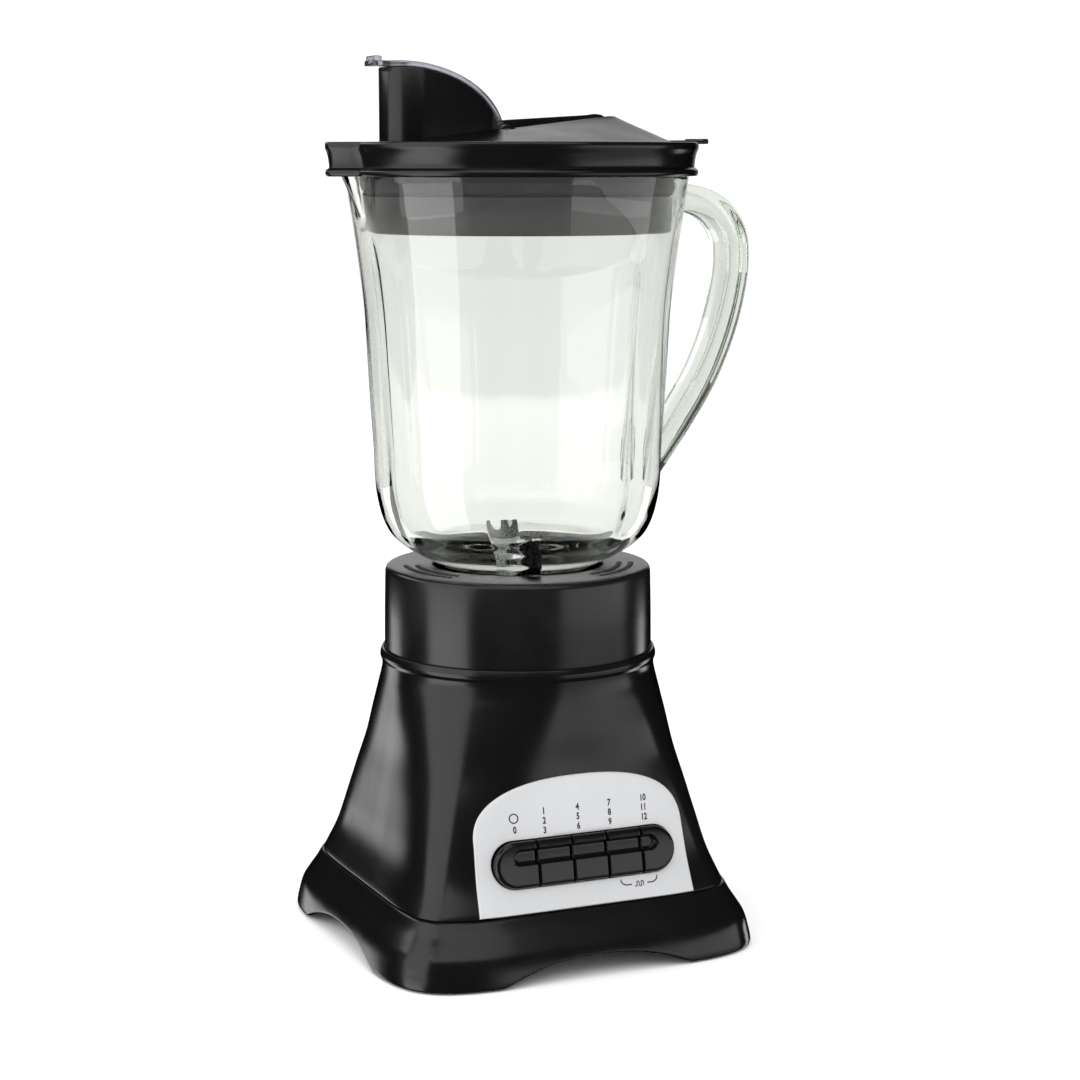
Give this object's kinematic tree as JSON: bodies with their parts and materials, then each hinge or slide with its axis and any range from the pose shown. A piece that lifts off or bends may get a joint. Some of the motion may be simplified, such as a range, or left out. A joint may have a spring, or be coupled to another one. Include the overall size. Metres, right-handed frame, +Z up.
{
  "type": "countertop blender",
  "caption": "Countertop blender with a glass jar, flip-top lid, cutter and push-key motor base.",
  "frame": {"origin": "middle of the footprint over the lid's spout, the handle and the feet, on the floor under the rubber feet", "axes": "+Z up, the keys face -Y, the jar's handle points to +X and its spout to -X"},
  "size_m": [0.1924, 0.1682, 0.3728],
  "materials": {
    "gloss_black": "polished moulded plastic",
    "satin_black": "satin moulded plastic",
    "rubber_black": "matt rubber",
    "panel_silver": "satin silver coated plastic",
    "clear_glass": "thick clear pressed glass",
    "smoky_clear": "smoke-tinted clear plastic",
    "stainless": "ground stainless steel",
    "steel": "bright steel",
    "iron_core": "stacked sheet iron",
    "copper_winding": "enamelled copper wire",
    "zinc_plate": "zinc-plated pressed steel",
    "nylon_white": "natural nylon",
    "carbon_block": "pressed carbon",
    "brass_part": "drawn brass"
  },
  "bodies": {
    "base": {"upper_housing": "gloss_black", "foot_skirt": "gloss_black", "base_plate": "satin_black", "rubber_foot_1": "rubber_black", "rubber_foot_2": "rubber_black", "rubber_foot_3": "rubber_black", "rubber_foot_4": "rubber_black", "base_screw_1": "zinc_plate", "base_screw_2": "zinc_plate", "base_screw_3": "zinc_plate", "base_screw_4": "zinc_plate", "control_panel": "panel_silver", "switch_frame": "nylon_white", "off_key_spring": "steel", "speed_1_key_spring": "steel", "speed_2_key_spring": "steel", "speed_3_key_spring": "steel", "speed_4_key_spring": "steel", "cord_gland": "rubber_black", "upper_motor_bracket": "zinc_plate", "lower_motor_bracket": "zinc_plate", "stator": "iron_core", "field_coil_1": "copper_winding", "field_coil_2": "copper_winding", "carbon_brush_1": "carbon_block", "carbon_brush_2": "carbon_block", "brush_holder_1": "brass_part", "brush_holder_2": "brass_part", "upper_bearing": "steel", "lower_bearing": "steel"},
    "rotor": {"motor_shaft": "steel", "armature": "copper_winding", "commutator": "copper_winding", "cooling_fan": "satin_black", "drive_coupling": "satin_black"},
    "off_button": {"off_key": "gloss_black"},
    "speed_1_button": {"speed_1_key": "gloss_black"},
    "speed_2_button": {"speed_2_key": "gloss_black"},
    "speed_3_button": {"speed_3_key": "gloss_black"},
    "speed_4_button": {"speed_4_key": "gloss_black"},
    "latch": {"latch_bar": "zinc_plate"},
    "jar": {"glass_jar": "clear_glass", "jar_collar": "satin_black", "jar_gasket": "rubber_black", "cutter_hub": "satin_black", "shaft_bush": "brass_part"},
    "cutter": {"blade_shaft": "stainless", "lower_blade": "stainless", "blade_spacer": "stainless", "upper_blade": "stainless", "blade_nut": "stainless", "driven_coupling": "zinc_plate"},
    "lid": {"lid": "gloss_black", "lid_seal": "rubber_black"},
    "cap": {"spout_cap": "smoky_clear"}
  },
  "joints": [
    {"name": "jar_lift", "type": "slide", "parent": "base", "child": "jar", "axis": [0, 0, 1], "range_m": [0, 0.08]},
    {"name": "lid_lift", "type": "slide", "parent": "jar", "child": "lid", "axis": [0, 0, 1], "range_m": [0, 0.06]},
    {"name": "cap_hinge", "type": "hinge", "parent": "lid", "child": "cap", "pos_m": [-0.02129, 0, 0.3428], "axis": [0, 1, 0], "range_deg": [0, 130]},
    {"name": "rotor_spin", "type": "hinge", "parent": "base", "child": "rotor", "pos_m": [-0.01119, 0, 0], "axis": [0, 0, 1], "continuous": true},
    {"name": "blade_spin", "type": "hinge", "parent": "jar", "child": "cutter", "pos_m": [-0.01119, 0, 0], "axis": [0, 0, 1], "continuous": true},
    {"name": "off_press", "type": "slide", "parent": "base", "child": "off_button", "axis": [0, 0.9793, -0.2026], "range_m": [0, 0.004], "stiffness_N_per_m": 400, "springref_m": -0.003, "deforming": ["off_key_spring"]},
    {"name": "speed_1_press", "type": "slide", "parent": "base", "child": "speed_1_button", "axis": [0, 0.9793, -0.2026], "range_m": [0, 0.004], "stiffness_N_per_m": 400, "springref_m": -0.003, "deforming": ["speed_1_key_spring"]},
    {"name": "speed_2_press", "type": "slide", "parent": "base", "child": "speed_2_button", "axis": [0, 0.9793, -0.2026], "range_m": [0, 0.004], "stiffness_N_per_m": 400, "springref_m": -0.003, "deforming": ["speed_2_key_spring"]},
    {"name": "speed_3_press", "type": "slide", "parent": "base", "child": "speed_3_button", "axis": [0, 0.9793, -0.2026], "range_m": [0, 0.004], "stiffness_N_per_m": 400, "springref_m": -0.003, "deforming": ["speed_3_key_spring"]},
    {"name": "speed_4_press", "type": "slide", "parent": "base", "child": "speed_4_button", "axis": [0, 0.9793, -0.2026], "range_m": [0, 0.004], "stiffness_N_per_m": 400, "springref_m": -0.003, "deforming": ["speed_4_key_spring"]},
    {"name": "latch_slide", "type": "slide", "parent": "base", "child": "latch", "axis": [1, 0, 0], "range_m": [0, 0.002]}
  ],
  "couplings": [
    {"joint": "blade_spin", "follows": "rotor_spin", "ratio": 1},
    {"joint": "latch_slide", "follows": "off_press", "ratio": 0.5}
  ]
}
